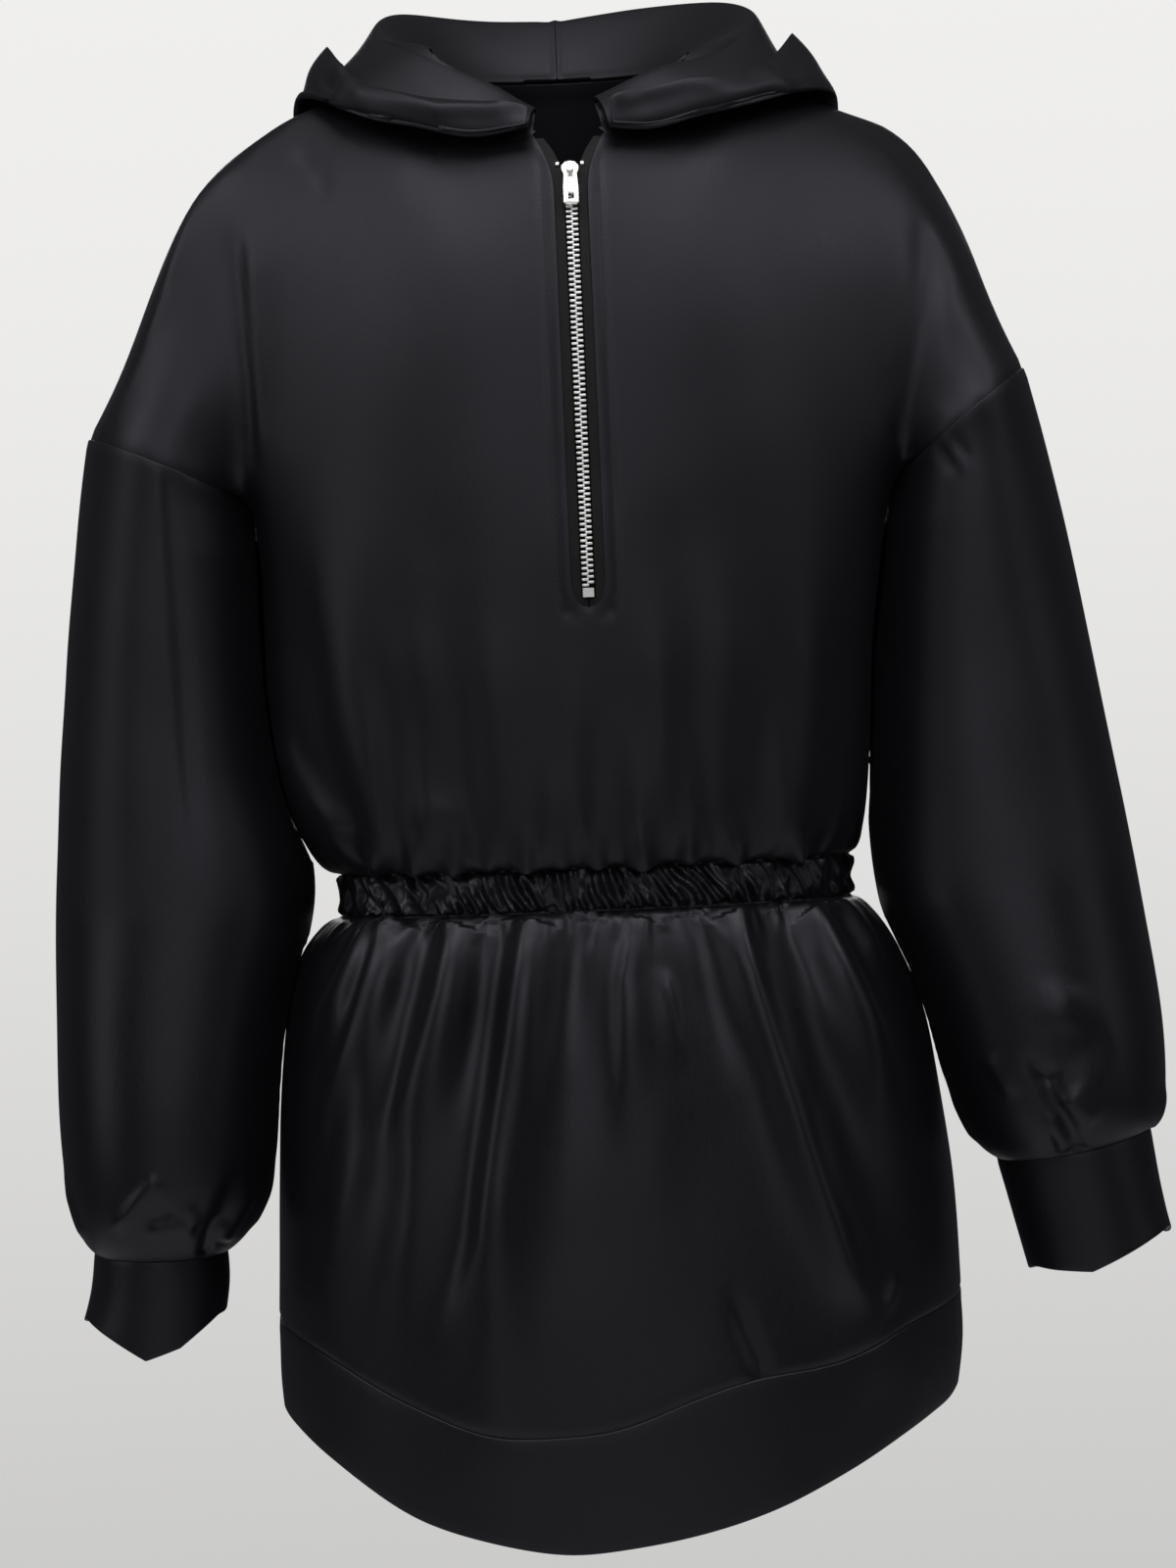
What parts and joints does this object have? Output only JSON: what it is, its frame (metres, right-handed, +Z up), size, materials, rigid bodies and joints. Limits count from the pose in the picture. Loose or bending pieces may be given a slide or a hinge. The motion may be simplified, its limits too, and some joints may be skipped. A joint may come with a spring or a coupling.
{
  "type": "hooded half-zip sweatshirt dress",
  "caption": "Hooded half-zip sweatshirt dress with dropped shoulders, full sleeves, an elastic waist casing and a deep curved hem band, standing as it is worn.",
  "frame": {"origin": "middle of the neck opening, where the wearer's neck and shoulders hold the garment", "axes": "+Z up along the worn garment, front facing -Y, the wearer's left sleeve at +X"},
  "size_m": [0.5903, 0.3034, 0.8313],
  "materials": {
    "knit": "smooth black double knit with a soft satin sheen",
    "knit_hem": "the same black knit, folded double",
    "casing_knit": "black knit puckered over elastic",
    "tape": "matt black woven zip tape",
    "zip_metal": "bright silver plated zip metal"
  },
  "bodies": {
    "garment": {"bodice_front": "knit", "bodice_back": "knit", "sleeve_left": "knit", "sleeve_right": "knit", "hood_left": "knit", "hood_right": "knit", "skirt_front": "knit", "skirt_back": "knit", "cuff_left": "knit_hem", "cuff_right": "knit_hem", "hem_band_front": "knit_hem", "hem_band_back": "knit_hem", "waist_casing": "casing_knit", "zip_tape_left": "tape", "zip_tape_right": "tape", "zip_chain": "zip_metal", "zip_bottom_stop": "zip_metal", "zip_top_stop_left": "zip_metal", "zip_top_stop_right": "zip_metal", "zip_slider": "zip_metal"},
    "pull_tab": {"zip_pull_tab": "zip_metal"}
  },
  "joints": [
    {"name": "pull_tab_hinge", "type": "hinge", "parent": "garment", "child": "pull_tab", "pos_m": [0.0045, -0.09204, -0.05316], "axis": [-1, 0, 0], "range_deg": [0, 170]}
  ]
}
